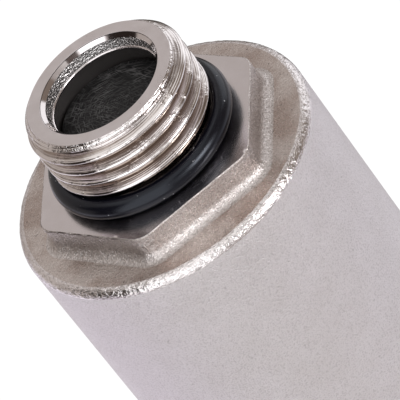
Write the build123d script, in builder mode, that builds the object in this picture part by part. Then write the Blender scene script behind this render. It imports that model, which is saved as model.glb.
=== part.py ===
from build123d import *
import os
from math import cos, radians, sin, tan

# Automatic air vent: a float valve in a nickel-plated brass body, screwed by its
# G1/2 thread into the high point of a heating circuit.
# Frame: millimetres, +Z up along the vent's own axis, origin at the centre of the
# threaded stub's end face. The vent stands thread down, cap up, as it is installed.

os.makedirs("parts", exist_ok=True)

# ---------------------------------------------------------------- driving dimensions
# connection thread, G1/2 (ISO 228)
THREAD_MAJOR_R = 20.955 / 2
THREAD_PITCH = 1.814
THREAD_DEPTH = 1.162
THREAD_HALF_ANGLE = 27.5
THREAD_ROOT_FLAT = 0.2
THREAD_TOP_Z = 7.65
STUB_FACE_R = 9.23
NECK_R = 9.25

# inlet in the stub
MOUTH_R = 7.61
LIP_R = 6.95
LIP_TOP_Z = 2.12
INLET_R = 7.9

# body
HEX_AF = 27.0
HEX_Z = 10.79
HEX_CORNER_R = 2.6
SHOULDER_Z = 14.26
BODY_R = 19.1
SHOULDER_EDGE_R = 1.03
HEX_ROOT_R = 1.0
CHAMBER_R = 17.0
CHAMBER_Z = 16.4
COVER_BORE_R = 17.5
COVER_BORE_Z = 45.5
BODY_TOP_Z = 52.0

# cover
PLUG_R = 17.45
PLUG_Z = 46.5
SKIRT_R = 14.8
COVER_UNDER_Z = 50.5
FLANGE_TOP_Z = 55.0
DOME_TOP_Z = 57.2
TURRET_AF = 22.0
TURRET_TOP_Z = 61.0
CAVITY_R = 8.0
CAVITY_TOP_Z = 57.5
JET_HOLE_R = 4.05

# jet (vent nozzle) with its valve seat
SEAT_Z = 55.0
JET_R = 4.0
JET_AF = 13.0
JET_HEX_TOP_Z = 64.0
JET_TOP_Z = 70.0
CHANNEL_R = 1.0
SEAT_LIP_R = 1.7

# float and linkage travel
FLOAT_RISE = 4.5
PIVOT_X = -5.0
PIVOT_Z = 45.0
HOOK_X = 10.0
POPPET_X = 0.0
LEVER_T = 1.0
PIN_R = 0.8
RUNNING_GAP = 0.06

# float
FLOAT_R = 15.6
FLOAT_WALL = 1.2
FLOAT_BOTTOM_Z = 17.4
FLOAT_TOP_Z = 38.3
LID_T = 1.6
NOSE_R = 7.4
NOSE_Z = 4.2

# vent cap
CAP_R = 7.0
CAP_BORE_R = 4.12
CAP_BOTTOM_Z = 64.6
CAP_DISC_T = 1.2
CAP_ROOF_T = 2.2
CAP_FLUTES = 20

# ---------------------------------------------------------------- derived dimensions
hook_arm = HOOK_X - PIVOT_X
poppet_arm = POPPET_X - PIVOT_X
swing = FLOAT_RISE / hook_arm
rest_tilt = swing / 2
poppet_lift = FLOAT_RISE * poppet_arm / hook_arm
lever_z_at_poppet = PIVOT_Z - poppet_arm * tan(rest_tilt)
lever_z_at_hook = PIVOT_Z - hook_arm * tan(rest_tilt)


# ---------------------------------------------------------------- body
# One forging: threaded stub, spanner hexagon, shoulder and float chamber.
with BuildPart() as vent_body:
    with BuildSketch(Plane.XZ):
        with BuildLine():
            Polyline(
                (BODY_R, SHOULDER_Z + SHOULDER_EDGE_R),
                (BODY_R, BODY_TOP_Z - 0.5),
                (BODY_R - 0.5, BODY_TOP_Z),
                (0, BODY_TOP_Z),
                (0, 0),
                (STUB_FACE_R, 0),
                (THREAD_MAJOR_R, THREAD_MAJOR_R - STUB_FACE_R),
                (THREAD_MAJOR_R, THREAD_TOP_Z),
                (NECK_R, THREAD_TOP_Z + 0.6),
                (NECK_R, SHOULDER_Z),
                (BODY_R - SHOULDER_EDGE_R, SHOULDER_Z),
            )
            ThreePointArc(
                (BODY_R - SHOULDER_EDGE_R, SHOULDER_Z),
                (
                    BODY_R - SHOULDER_EDGE_R * (1 - sin(radians(45))),
                    SHOULDER_Z + SHOULDER_EDGE_R * (1 - cos(radians(45))),
                ),
                (BODY_R, SHOULDER_Z + SHOULDER_EDGE_R),
            )
        make_face()
    revolve(axis=Axis.Z)
    # spanner hexagon, with a corner on +X
    with BuildSketch(Plane.XY.offset(HEX_Z)):
        RegularPolygon(radius=HEX_AF / 2, side_count=6, major_radius=False)
        fillet(vertices(), HEX_CORNER_R)
    extrude(amount=SHOULDER_Z - HEX_Z)
    hex_root = (
        edges()
        .filter_by_position(Axis.Z, SHOULDER_Z - 0.001, SHOULDER_Z + 0.001)
        .filter_by(lambda edge: edge.length < HEX_AF)
    )
    fillet(hex_root, HEX_ROOT_R)
    # thread as rings at the true pitch, depth and flank angle
    flank_slope = tan(radians(THREAD_HALF_ANGLE))
    groove_half = THREAD_DEPTH * flank_slope + THREAD_ROOT_FLAT / 2
    last_groove_z = THREAD_TOP_Z - (THREAD_PITCH - groove_half)
    overrun = 0.2
    overrun_half = groove_half + overrun * flank_slope
    for turn in range(4):
        groove_z = last_groove_z - turn * THREAD_PITCH
        with BuildSketch(Plane.XZ):
            with BuildLine():
                Polyline(
                    (THREAD_MAJOR_R - THREAD_DEPTH, groove_z - THREAD_ROOT_FLAT / 2),
                    (THREAD_MAJOR_R + overrun, groove_z - overrun_half),
                    (THREAD_MAJOR_R + overrun, groove_z + overrun_half),
                    (THREAD_MAJOR_R - THREAD_DEPTH, groove_z + THREAD_ROOT_FLAT / 2),
                    close=True,
                )
            make_face()
        revolve(axis=Axis.Z, mode=Mode.SUBTRACT)
    # inlet: chamfered mouth, lip, wider bore, float chamber, bore for the cover
    with BuildSketch(Plane.XZ):
        with BuildLine():
            Polyline(
                (0, 0),
                (MOUTH_R, 0),
                (LIP_R, MOUTH_R - LIP_R),
                (LIP_R, LIP_TOP_Z),
                (INLET_R, LIP_TOP_Z + 0.3),
                (INLET_R, CHAMBER_Z - 0.5),
                (INLET_R + 0.5, CHAMBER_Z),
                (CHAMBER_R - 0.6, CHAMBER_Z),
                (CHAMBER_R, CHAMBER_Z + 0.6),
                (CHAMBER_R, COVER_BORE_Z),
                (COVER_BORE_R, COVER_BORE_Z + 0.5),
                (COVER_BORE_R, BODY_TOP_Z),
                (0, BODY_TOP_Z),
                close=True,
            )
        make_face()
    revolve(axis=Axis.Z, mode=Mode.SUBTRACT)
vent_body.part.label = "vent_body"
export_step(vent_body.part, "parts/vent_body.step")

# ---------------------------------------------------------------- stub O-ring
# Lies in the neck between the thread and the hexagon and seals on the boss.
STUB_RING_R = 1.30
with BuildPart() as thread_o_ring:
    with BuildSketch(Plane.XZ):
        with Locations((NECK_R + STUB_RING_R, HEX_Z - STUB_RING_R)):
            Circle(STUB_RING_R - 0.01)
    revolve(axis=Axis.Z)
thread_o_ring.part.label = "thread_o_ring"
export_step(thread_o_ring.part, "parts/thread_o_ring.step")

# ---------------------------------------------------------------- cover
# Screws into the body; its turret is hollow and takes the valve.
COVER_GROOVE_R = 15.9
COVER_GROOVE_Z = 50.2
DOME_FOOT_R = 17.4
DOME_TOP_R = 11.5
HOLDER_SCREW_Y = 10.5
HOLDER_SCREW_R = 1.2
HOLDER_SCREW_DEPTH = 4.5
JET_RECESS_R = 5.6
JET_RECESS_DEPTH = 1.0
with BuildPart() as cover:
    with BuildSketch(Plane.XZ):
        with BuildLine():
            Polyline(
                (DOME_TOP_R, DOME_TOP_Z),
                (0, DOME_TOP_Z),
                (0, COVER_UNDER_Z),
                (SKIRT_R, COVER_UNDER_Z),
                (SKIRT_R, PLUG_Z),
                (PLUG_R - 0.6, PLUG_Z),
                (PLUG_R, PLUG_Z + 0.6),
                (PLUG_R, COVER_GROOVE_Z),
                (COVER_GROOVE_R, COVER_GROOVE_Z),
                (COVER_GROOVE_R, BODY_TOP_Z),
                (BODY_R - 0.5, BODY_TOP_Z),
                (BODY_R, BODY_TOP_Z + 0.5),
                (BODY_R, FLANGE_TOP_Z - 0.8),
                (BODY_R - 0.8, FLANGE_TOP_Z),
                (DOME_FOOT_R, FLANGE_TOP_Z),
            )
            ThreePointArc(
                (DOME_FOOT_R, FLANGE_TOP_Z),
                (
                    (DOME_FOOT_R + DOME_TOP_R) / 2,
                    (FLANGE_TOP_Z + DOME_TOP_Z) / 2 + 0.35,
                ),
                (DOME_TOP_R, DOME_TOP_Z),
            )
        make_face()
    revolve(axis=Axis.Z)
    # turret hexagon with its corners turned down at the top
    turret_base_z = FLANGE_TOP_Z + 1
    with BuildSketch(Plane.XY.offset(turret_base_z)):
        RegularPolygon(radius=TURRET_AF / 2, side_count=6, major_radius=False)
    extrude(amount=TURRET_TOP_Z - turret_base_z)
    corner_r = TURRET_AF / 2 / cos(radians(30))
    corner_drop = (corner_r + 1 - TURRET_AF / 2) * tan(radians(30))
    with BuildSketch(Plane.XZ):
        with BuildLine():
            Polyline(
                (TURRET_AF / 2 - 0.2, TURRET_TOP_Z + 0.1),
                (corner_r + 1, TURRET_TOP_Z + 0.1),
                (corner_r + 1, TURRET_TOP_Z - corner_drop),
                (TURRET_AF / 2 - 0.2, TURRET_TOP_Z),
                close=True,
            )
        make_face()
    revolve(axis=Axis.Z, mode=Mode.SUBTRACT)
    # hollow of the turret, hole for the jet, recess for its O-ring
    with BuildSketch(Plane.XY.offset(COVER_UNDER_Z)):
        Circle(CAVITY_R)
    extrude(amount=CAVITY_TOP_Z - COVER_UNDER_Z, mode=Mode.SUBTRACT)
    with BuildSketch(Plane.XY.offset(CAVITY_TOP_Z)):
        Circle(JET_HOLE_R)
    extrude(amount=TURRET_TOP_Z - CAVITY_TOP_Z, mode=Mode.SUBTRACT)
    with BuildSketch(Plane.XY.offset(TURRET_TOP_Z)):
        Circle(JET_RECESS_R)
    extrude(amount=-JET_RECESS_DEPTH, mode=Mode.SUBTRACT)
    # blind holes for the holder's screws
    with BuildSketch(Plane.XY.offset(COVER_UNDER_Z)):
        with Locations((0, HOLDER_SCREW_Y), (0, -HOLDER_SCREW_Y)):
            Circle(HOLDER_SCREW_R + 0.04)
    extrude(amount=HOLDER_SCREW_DEPTH, mode=Mode.SUBTRACT)
cover.part.label = "cover"
export_step(cover.part, "parts/cover.step")

# ---------------------------------------------------------------- cover O-ring
COVER_RING_R = 0.75
with BuildPart() as cover_o_ring:
    with BuildSketch(Plane.XZ):
        with Locations(
            (
                (COVER_GROOVE_R + COVER_BORE_R) / 2,
                (COVER_GROOVE_Z + BODY_TOP_Z) / 2,
            )
        ):
            Circle(COVER_RING_R)
    revolve(axis=Axis.Z)
cover_o_ring.part.label = "cover_o_ring"
export_step(cover_o_ring.part, "parts/cover_o_ring.step")

# ---------------------------------------------------------------- jet
# Brass nozzle screwed into the turret: valve seat below, vent spout above.
SPOUT_PITCH = 1.0
SPOUT_THREAD_DEPTH = 0.5
with BuildPart() as jet:
    with BuildSketch(Plane.XZ):
        with BuildLine():
            Polyline(
                (CHANNEL_R, SEAT_Z),
                (SEAT_LIP_R, SEAT_Z),
                (SEAT_LIP_R + 0.6, SEAT_Z + 0.8),
                (JET_R - 0.6, SEAT_Z + 0.8),
                (JET_R, SEAT_Z + 1.4),
                (JET_R, JET_TOP_Z - 0.6),
                (JET_R - 0.6, JET_TOP_Z),
                (CHANNEL_R, JET_TOP_Z),
                close=True,
            )
        make_face()
    revolve(axis=Axis.Z)
    with BuildSketch(Plane.XY.offset(TURRET_TOP_Z)):
        RegularPolygon(radius=JET_AF / 2, side_count=6, major_radius=False)
        Circle(CHANNEL_R, mode=Mode.SUBTRACT)
    extrude(amount=JET_HEX_TOP_Z - TURRET_TOP_Z)
    # spout thread as rings
    spout_turns = int((JET_TOP_Z - JET_HEX_TOP_Z - 1.4) / SPOUT_PITCH)
    for turn in range(spout_turns):
        groove_z = JET_HEX_TOP_Z + 1.2 + turn * SPOUT_PITCH
        with BuildSketch(Plane.XZ):
            with BuildLine():
                Polyline(
                    (JET_R - SPOUT_THREAD_DEPTH, groove_z),
                    (JET_R + 0.1, groove_z - 0.35),
                    (JET_R + 0.1, groove_z + 0.35),
                    close=True,
                )
            make_face()
        revolve(axis=Axis.Z, mode=Mode.SUBTRACT)
jet.part.label = "jet"
export_step(jet.part, "parts/jet.step")

# ---------------------------------------------------------------- jet O-ring
JET_RING_R = 0.48
with BuildPart() as jet_o_ring:
    with BuildSketch(Plane.XZ):
        with Locations(((JET_R + JET_RECESS_R) / 2, TURRET_TOP_Z - JET_RING_R - 0.02)):
            Circle(JET_RING_R)
    revolve(axis=Axis.Z)
jet_o_ring.part.label = "jet_o_ring"
export_step(jet_o_ring.part, "parts/jet_o_ring.step")

# ---------------------------------------------------------------- valve holder
# Moulded carrier under the cover: guide tube for the poppet, ears for the lever.
HOLDER_R = 7.8
HOLDER_BORE_R = 4.6
HOLDER_FLOOR_Z = 46.9
HOLDER_FLOOR_T = 1.0
HOLDER_PLATE_T = 1.5
HOLDER_TUBE_R = 6.0
HOLDER_TUBE_TOP_Z = 53.5
EAR_GAP = 5.6
EAR_T = 1.4
EAR_HALF_W = 1.6
STEM_R = 1.5
RELIEF_START_X = 2.2
RELIEF_HALF_W = 2.6
relief_rise = (HOLDER_R + 0.2 - RELIEF_START_X) * tan(rest_tilt)
with BuildPart() as valve_holder:
    with BuildSketch(Plane.XY.offset(HOLDER_FLOOR_Z)):
        Circle(HOLDER_R)
    extrude(amount=COVER_UNDER_Z - HOLDER_FLOOR_Z)
    with BuildSketch(Plane.XY.offset(COVER_UNDER_Z - HOLDER_PLATE_T)):
        SlotCenterToCenter(2 * HOLDER_SCREW_Y, 6.4, rotation=90)
    extrude(amount=HOLDER_PLATE_T)
    with BuildSketch(Plane.XY.offset(COVER_UNDER_Z)):
        Circle(HOLDER_TUBE_R)
    extrude(amount=HOLDER_TUBE_TOP_Z - COVER_UNDER_Z)
    with BuildSketch(Plane.XY.offset(HOLDER_FLOOR_Z + HOLDER_FLOOR_T)):
        Circle(HOLDER_BORE_R)
    extrude(
        amount=HOLDER_TUBE_TOP_Z - HOLDER_FLOOR_Z - HOLDER_FLOOR_T, mode=Mode.SUBTRACT
    )
    # ears
    for side in (-1, 1):
        inner_y = side * EAR_GAP / 2
        with BuildSketch(Plane.XZ.offset(-inner_y)):
            with Locations((PIVOT_X, PIVOT_Z)):
                Circle(EAR_HALF_W)
            with Locations((PIVOT_X, (PIVOT_Z + HOLDER_FLOOR_Z) / 2)):
                Rectangle(2 * EAR_HALF_W, HOLDER_FLOOR_Z - PIVOT_Z)
        extrude(amount=-side * EAR_T)
    with BuildSketch(Plane.XZ.offset(-EAR_GAP)):
        with Locations((PIVOT_X, PIVOT_Z)):
            Circle(PIN_R + 0.03)
    extrude(amount=2 * EAR_GAP, mode=Mode.SUBTRACT)
    # sloped relief above the lever, parallel to it at the top of its swing
    with BuildSketch(Plane.XZ):
        Polygon(
            (RELIEF_START_X, HOLDER_FLOOR_Z),
            (HOLDER_R + 0.2, HOLDER_FLOOR_Z),
            (HOLDER_R + 0.2, HOLDER_FLOOR_Z + relief_rise),
            align=None,
        )
    extrude(amount=RELIEF_HALF_W, both=True, mode=Mode.SUBTRACT)
    # stem hole and four air holes in the floor
    with BuildSketch(Plane.XY.offset(HOLDER_FLOOR_Z)):
        Circle(STEM_R + 0.12)
        with PolarLocations(3.65, 4, start_angle=45):
            Circle(0.8)
    extrude(amount=HOLDER_FLOOR_T, mode=Mode.SUBTRACT)
    # screw holes
    with BuildSketch(Plane.XY.offset(COVER_UNDER_Z - HOLDER_PLATE_T)):
        with Locations((0, HOLDER_SCREW_Y), (0, -HOLDER_SCREW_Y)):
            Circle(HOLDER_SCREW_R + 0.15)
    extrude(amount=HOLDER_PLATE_T, mode=Mode.SUBTRACT)
valve_holder.part.label = "valve_holder"
export_step(valve_holder.part, "parts/valve_holder.step")

# ---------------------------------------------------------------- holder screws
SCREW_HEAD_T = 1.4
SCREW_HEAD_R = 2.2
with BuildPart() as holder_screws:
    head_z = COVER_UNDER_Z - HOLDER_PLATE_T
    with BuildSketch(Plane.XY.offset(head_z)):
        with Locations((0, HOLDER_SCREW_Y), (0, -HOLDER_SCREW_Y)):
            Circle(HOLDER_SCREW_R)
    extrude(amount=HOLDER_PLATE_T + HOLDER_SCREW_DEPTH - 0.3)
    with BuildSketch(Plane.XY.offset(head_z)):
        with Locations((0, HOLDER_SCREW_Y), (0, -HOLDER_SCREW_Y)):
            Circle(SCREW_HEAD_R)
    extrude(amount=-SCREW_HEAD_T)
    with BuildSketch(Plane.XY.offset(head_z - SCREW_HEAD_T)):
        with Locations((0, HOLDER_SCREW_Y), (0, -HOLDER_SCREW_Y)):
            Rectangle(2.6, 0.6)
            Rectangle(0.6, 2.6)
    extrude(amount=0.8, mode=Mode.SUBTRACT)
holder_screws.part.label = "holder_screws"
export_step(holder_screws.part, "parts/holder_screws.step")

# ---------------------------------------------------------------- lever pin and clip
PIN_HEAD_R = 1.5
PIN_HEAD_T = 0.6
PIN_GROOVE_R = 0.55
CLIP_R = 1.7
CLIP_T = 0.4
ear_outer_y = EAR_GAP / 2 + EAR_T
with BuildPart() as lever_pin:
    with BuildSketch(Plane.XZ.offset(ear_outer_y)):
        with Locations((PIVOT_X, PIVOT_Z)):
            Circle(PIN_HEAD_R)
    extrude(amount=PIN_HEAD_T)
    with BuildSketch(Plane.XZ.offset(ear_outer_y)):
        with Locations((PIVOT_X, PIVOT_Z)):
            Circle(PIN_R)
    extrude(amount=-(2 * ear_outer_y + 1.2))
    with BuildSketch(Plane.XZ.offset(-ear_outer_y - 0.1)):
        with Locations((PIVOT_X, PIVOT_Z)):
            Circle(PIN_R + 0.1)
            Circle(PIN_GROOVE_R, mode=Mode.SUBTRACT)
    extrude(amount=-(CLIP_T + 0.1), mode=Mode.SUBTRACT)
lever_pin.part.label = "lever_pin"
export_step(lever_pin.part, "parts/lever_pin.step")

with BuildPart() as pin_clip:
    with BuildSketch(Plane.XZ.offset(-ear_outer_y - 0.15)):
        with Locations((PIVOT_X, PIVOT_Z)):
            Circle(CLIP_R)
            Circle(PIN_GROOVE_R + 0.02, mode=Mode.SUBTRACT)
        with Locations((PIVOT_X, PIVOT_Z - CLIP_R / 2)):
            Rectangle(1.0, CLIP_R, mode=Mode.SUBTRACT)
    extrude(amount=-CLIP_T)
pin_clip.part.label = "pin_clip"
export_step(pin_clip.part, "parts/pin_clip.step")

# ---------------------------------------------------------------- lever
# At rest it hangs down by half its swing, so that it swings evenly about level.
LEVER_W = 4.4
LEVER_BARREL_R = 1.5
LEVER_OVERHANG = 2.6
lever_side = Plane(
    origin=(PIVOT_X, 0, PIVOT_Z),
    x_dir=(cos(rest_tilt), 0, -sin(rest_tilt)),
    z_dir=(0, -1, 0),
)
lever_face = Plane(
    origin=(PIVOT_X, 0, PIVOT_Z),
    x_dir=(cos(rest_tilt), 0, -sin(rest_tilt)),
    z_dir=(sin(rest_tilt), 0, cos(rest_tilt)),
)
with BuildPart() as lever:
    with BuildSketch(lever_side):
        with Locations(((hook_arm + LEVER_OVERHANG) / 2, 0)):
            Rectangle(hook_arm + LEVER_OVERHANG, LEVER_T)
    extrude(amount=LEVER_W / 2, both=True)
    across_thickness = edges().filter_by(Axis((0, 0, 0), lever_face.z_dir))
    fillet(across_thickness.sort_by(Axis.X)[-2:], 1.2)
    with BuildSketch(lever_side):
        Circle(LEVER_BARREL_R)
    extrude(amount=EAR_GAP / 2 - 0.2, both=True)
    with BuildSketch(lever_side):
        Circle(PIN_R + RUNNING_GAP)
    extrude(amount=EAR_GAP, both=True, mode=Mode.SUBTRACT)
    with BuildSketch(lever_face):
        with Locations((poppet_arm, 0)):
            Circle(1.15)
    extrude(amount=LEVER_T, both=True, mode=Mode.SUBTRACT)
lever.part.label = "lever"
export_step(lever.part, "parts/lever.step")

# ---------------------------------------------------------------- poppet
# Carries the seal; the lever holds its neck between the stem's shoulder and a clip.
SEAT_GAP = 0.05
SEAL_R = 2.55
SEAL_T = 1.4
SEAL_PROUD = 0.45
POPPET_R = 3.2
POPPET_DISC_T = 1.7
NECK_PIN_R = 0.8
NECK_HALF = 1.0
STEM_CLIP_T = 0.5
seal_top_z = SEAT_Z - SEAT_GAP - poppet_lift
poppet_top_z = seal_top_z - SEAL_PROUD
poppet_disc_z = poppet_top_z - POPPET_DISC_T
neck_top_z = lever_z_at_poppet + NECK_HALF
neck_low_z = lever_z_at_poppet - NECK_HALF
stem_tip_z = neck_low_z - STEM_CLIP_T - 0.5
with BuildPart() as poppet:
    with BuildSketch(Plane.XZ):
        with BuildLine():
            Polyline(
                (0, poppet_top_z - (SEAL_T - SEAL_PROUD)),
                (SEAL_R, poppet_top_z - (SEAL_T - SEAL_PROUD)),
                (SEAL_R, poppet_top_z),
                (POPPET_R, poppet_top_z),
                (POPPET_R, poppet_disc_z),
                (STEM_R, poppet_disc_z),
                (STEM_R, neck_top_z),
                (NECK_PIN_R, neck_top_z),
                (NECK_PIN_R, neck_low_z),
                (NECK_PIN_R - 0.2, neck_low_z),
                (NECK_PIN_R - 0.2, neck_low_z - STEM_CLIP_T),
                (NECK_PIN_R, neck_low_z - STEM_CLIP_T),
                (NECK_PIN_R, stem_tip_z + 0.2),
                (NECK_PIN_R - 0.2, stem_tip_z),
                (0, stem_tip_z),
                close=True,
            )
        make_face()
    revolve(axis=Axis.Z)
poppet.part.label = "poppet"
export_step(poppet.part, "parts/poppet.step")

with BuildPart() as poppet_seal:
    with BuildSketch(Plane.XY.offset(seal_top_z - SEAL_T)):
        Circle(SEAL_R - 0.02)
    extrude(amount=SEAL_T)
poppet_seal.part.label = "poppet_seal"
export_step(poppet_seal.part, "parts/poppet_seal.step")

with BuildPart() as stem_clip:
    with BuildSketch(Plane.XY.offset(neck_low_z - STEM_CLIP_T + 0.02)):
        Circle(1.7)
        Circle(NECK_PIN_R - 0.18, mode=Mode.SUBTRACT)
        with Locations((0, 0.85)):
            Rectangle(0.9, 1.7, mode=Mode.SUBTRACT)
    extrude(amount=STEM_CLIP_T - 0.04)
stem_clip.part.label = "stem_clip"
export_step(stem_clip.part, "parts/stem_clip.step")

# ---------------------------------------------------------------- closing spring
SPRING_WIRE_R = 0.18
SPRING_R = 2.3
SPRING_TURNS = 4
spring_low_z = HOLDER_FLOOR_Z + HOLDER_FLOOR_T + SPRING_WIRE_R + 0.02
spring_high_z = poppet_disc_z - SPRING_WIRE_R - 0.02
with BuildPart() as closing_spring:
    with BuildLine() as coil:
        Helix(
            pitch=(spring_high_z - spring_low_z) / SPRING_TURNS,
            height=spring_high_z - spring_low_z,
            radius=SPRING_R,
            center=(0, 0, spring_low_z),
        )
    with BuildSketch(Plane(origin=coil.line @ 0, z_dir=coil.line % 0)):
        Circle(SPRING_WIRE_R)
    sweep(path=coil.line, is_frenet=True)
closing_spring.part.label = "closing_spring"
export_step(closing_spring.part, "parts/closing_spring.step")

# ---------------------------------------------------------------- float
# Hollow shell with a long nose that reaches down into the stub, closed by a lid.
FOOT_H = 0.95
RIB_R = 16.4
lid_bottom_z = FLOAT_TOP_Z - LID_T
with BuildPart() as float_shell:
    with BuildSketch(Plane.XZ):
        with BuildLine():
            Polyline(
                (0, NOSE_Z),
                (NOSE_R - 0.4, NOSE_Z),
                (NOSE_R, NOSE_Z + 0.4),
                (NOSE_R, FLOAT_BOTTOM_Z),
                (FLOAT_R - 0.8, FLOAT_BOTTOM_Z),
                (FLOAT_R, FLOAT_BOTTOM_Z + 0.8),
                (FLOAT_R, lid_bottom_z),
                (FLOAT_R - FLOAT_WALL, lid_bottom_z),
                (FLOAT_R - FLOAT_WALL, FLOAT_BOTTOM_Z + FLOAT_WALL),
                (NOSE_R - FLOAT_WALL, FLOAT_BOTTOM_Z + FLOAT_WALL),
                (NOSE_R - FLOAT_WALL, NOSE_Z + FLOAT_WALL),
                (0, NOSE_Z + FLOAT_WALL),
                close=True,
            )
        make_face()
    revolve(axis=Axis.Z)
    # feet that keep the water way open when the float is down
    with BuildSketch(Plane.XY.offset(FLOAT_BOTTOM_Z - FOOT_H)):
        with PolarLocations((NOSE_R + FLOAT_R) / 2, 4):
            Rectangle(4.5, 1.6)
    extrude(amount=FOOT_H + 0.2)
    # guide ribs
    with BuildSketch(Plane.XY.offset(FLOAT_BOTTOM_Z + 2)):
        with PolarLocations((FLOAT_R + RIB_R) / 2 - 0.1, 4, start_angle=45):
            Rectangle(RIB_R - FLOAT_R + 0.2, 1.4)
    extrude(amount=lid_bottom_z - FLOAT_BOTTOM_Z - 4)
float_shell.part.label = "float_shell"
export_step(float_shell.part, "parts/float_shell.step")

HOOK_SCREW_DX = 2.5
HOOK_SCREW_R = 0.9
BOSS_DEPTH = 3.6
with BuildPart() as float_lid:
    with BuildSketch(Plane.XY.offset(lid_bottom_z)):
        Circle(FLOAT_R)
    extrude(amount=LID_T)
    top_rim = edges().group_by(Axis.Z)[-1]
    chamfer(top_rim, 0.5)
    # spigot ring that centres the lid in the shell
    with BuildSketch(Plane.XY.offset(lid_bottom_z)):
        Circle(FLOAT_R - FLOAT_WALL - 0.05)
        Circle(FLOAT_R - 2 * FLOAT_WALL, mode=Mode.SUBTRACT)
    extrude(amount=-1.5)
    # blind bosses for the hook's screws
    with BuildSketch(Plane.XY.offset(FLOAT_TOP_Z)):
        with Locations((HOOK_X - HOOK_SCREW_DX, 0), (HOOK_X + HOOK_SCREW_DX, 0)):
            Circle(1.9)
    extrude(amount=-BOSS_DEPTH)
    with BuildSketch(Plane.XY.offset(FLOAT_TOP_Z)):
        with Locations((HOOK_X - HOOK_SCREW_DX, 0), (HOOK_X + HOOK_SCREW_DX, 0)):
            Circle(HOOK_SCREW_R + 0.03)
    extrude(amount=-(BOSS_DEPTH - 1), mode=Mode.SUBTRACT)
float_lid.part.label = "float_lid"
export_step(float_lid.part, "parts/float_lid.step")

# ---------------------------------------------------------------- float hook
# Stirrup on the lid; the lever's end lies in its window.
HOOK_BASE_T = 0.8
HOOK_BASE_L = 8.6
HOOK_W = 8.0
HOOK_T = 1.2
WINDOW_W = 5.0
WINDOW_H = 2.0
with BuildPart() as float_hook:
    with BuildSketch(Plane.XY.offset(FLOAT_TOP_Z)):
        with Locations((HOOK_X, 0)):
            Rectangle(HOOK_BASE_L, 5.0)
            fillet(vertices(), 1.0)
    extrude(amount=HOOK_BASE_T)
    hook_top_z = lever_z_at_hook + WINDOW_H / 2 + 1.2
    with BuildSketch(Plane.YZ.offset(HOOK_X - HOOK_T / 2)):
        with Locations((0, (FLOAT_TOP_Z + hook_top_z) / 2)):
            Rectangle(HOOK_W, hook_top_z - FLOAT_TOP_Z)
        with Locations((0, lever_z_at_hook)):
            Rectangle(WINDOW_W, WINDOW_H, mode=Mode.SUBTRACT)
    extrude(amount=HOOK_T)
    with BuildSketch(Plane.XY.offset(FLOAT_TOP_Z)):
        with Locations((HOOK_X - HOOK_SCREW_DX, 0), (HOOK_X + HOOK_SCREW_DX, 0)):
            Circle(HOOK_SCREW_R + 0.12)
    extrude(amount=HOOK_BASE_T, mode=Mode.SUBTRACT)
float_hook.part.label = "float_hook"
export_step(float_hook.part, "parts/float_hook.step")

with BuildPart() as hook_screws:
    head_z = FLOAT_TOP_Z + HOOK_BASE_T
    with BuildSketch(Plane.XY.offset(head_z)):
        with Locations((HOOK_X - HOOK_SCREW_DX, 0), (HOOK_X + HOOK_SCREW_DX, 0)):
            Circle(HOOK_SCREW_R)
    extrude(amount=-(HOOK_BASE_T + BOSS_DEPTH - 1.3))
    with BuildSketch(Plane.XY.offset(head_z)):
        with Locations((HOOK_X - HOOK_SCREW_DX, 0), (HOOK_X + HOOK_SCREW_DX, 0)):
            Circle(1.6)
    extrude(amount=1.0)
    with BuildSketch(Plane.XY.offset(head_z + 1.0)):
        with Locations((HOOK_X - HOOK_SCREW_DX, 0), (HOOK_X + HOOK_SCREW_DX, 0)):
            Rectangle(0.5, 2.2)
    extrude(amount=-0.5, mode=Mode.SUBTRACT)
hook_screws.part.label = "hook_screws"
export_step(hook_screws.part, "parts/hook_screws.step")

# ---------------------------------------------------------------- vent cap
# Screwed down it shuts the spout; turned up a few turns it lets the vent breathe.
cap_roof_z = JET_TOP_Z + CAP_DISC_T
cap_top_z = cap_roof_z + CAP_ROOF_T
with BuildPart() as vent_cap:
    with BuildSketch(Plane.XY.offset(CAP_BOTTOM_Z)):
        Circle(CAP_R)
    extrude(amount=cap_top_z - CAP_BOTTOM_Z)
    fillet(edges().group_by(Axis.Z)[-1], 1.2)
    chamfer(edges().group_by(Axis.Z)[0], 0.4)
    # finger flutes
    with BuildSketch(Plane.XY.offset(CAP_BOTTOM_Z + 1.4)):
        with PolarLocations(CAP_R + 0.45, CAP_FLUTES):
            Circle(0.8)
    extrude(amount=cap_top_z - CAP_BOTTOM_Z, mode=Mode.SUBTRACT)
    # bore over the spout, with a pocket for the sealing disc
    with BuildSketch(Plane.XY.offset(CAP_BOTTOM_Z)):
        Circle(CAP_BORE_R)
    extrude(amount=cap_roof_z - CAP_BOTTOM_Z, mode=Mode.SUBTRACT)
    # vent hole in the side
    with BuildSketch(Plane.YZ):
        with Locations((0, CAP_BOTTOM_Z + 3.4)):
            Circle(0.75)
    extrude(amount=-CAP_R - 1, mode=Mode.SUBTRACT)
vent_cap.part.label = "vent_cap"
export_step(vent_cap.part, "parts/vent_cap.step")

with BuildPart() as cap_disc:
    with BuildSketch(Plane.XY.offset(JET_TOP_Z + 0.01)):
        Circle(CAP_BORE_R - 0.1)
    extrude(amount=CAP_DISC_T - 0.02)
cap_disc.part.label = "cap_disc"
export_step(cap_disc.part, "parts/cap_disc.step")

print(f"lever swing {swing:.4f} rad, poppet lift {poppet_lift:.3f} mm, top at {cap_top_z:.2f} mm")
print(f"spring floor at {HOLDER_FLOOR_Z + HOLDER_FLOOR_T:.3f} mm")
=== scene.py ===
import math

import bmesh
import bpy
import numpy as np
from mathutils import Matrix, Vector, noise


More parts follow.
